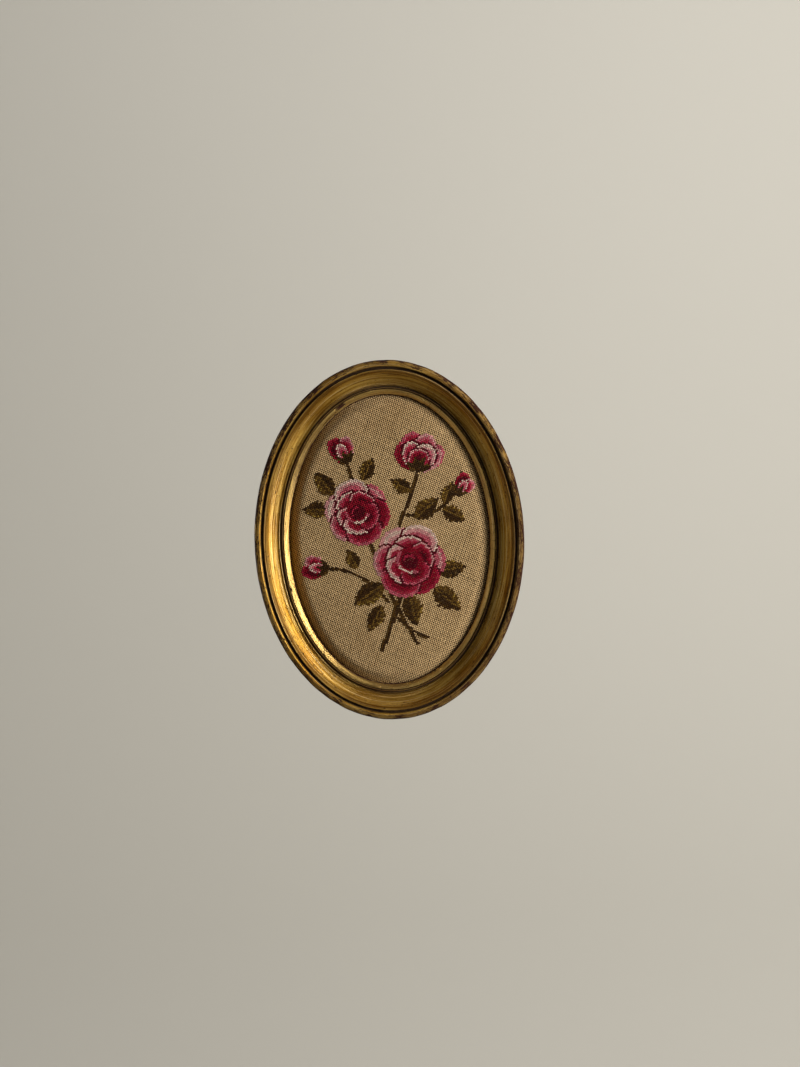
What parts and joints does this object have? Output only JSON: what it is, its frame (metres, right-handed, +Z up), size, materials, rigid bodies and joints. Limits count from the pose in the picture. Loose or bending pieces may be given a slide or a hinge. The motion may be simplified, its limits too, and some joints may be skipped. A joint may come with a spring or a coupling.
{
  "type": "framed embroidery in an oval frame",
  "caption": "Oval framed embroidery: evenweave canvas with a worked spray of roses, stretched over a crowned board in a turned gilt frame with a rounded rim, a cove and a sloping lip, hung on a wall.",
  "frame": {"origin": "the hanging point: where the nail under the middle notch of the hanger enters the wall, on the wall plane", "axes": "+Z up, along the oval's long axis; -Y out of the wall, towards the viewer; +X to the viewer's right"},
  "size_m": [0.15, 0.02, 0.2],
  "materials": {
    "gilt_wood": "aged gold leaf over red-brown ground, burnished, worn on the rim, dark in the grooves",
    "canvas": "beige evenweave canvas with petit-point stitches in crimson, rose, pink and olive brown",
    "board": "plain brown-grey card, matt",
    "hanger_brass": "thin pressed plate, dull brass"
  },
  "bodies": {
    "root": {"oval_frame": "gilt_wood", "embroidered_canvas": "canvas", "crowned_board": "board", "sawtooth_hanger": "hanger_brass"}
  },
  "joints": []
}
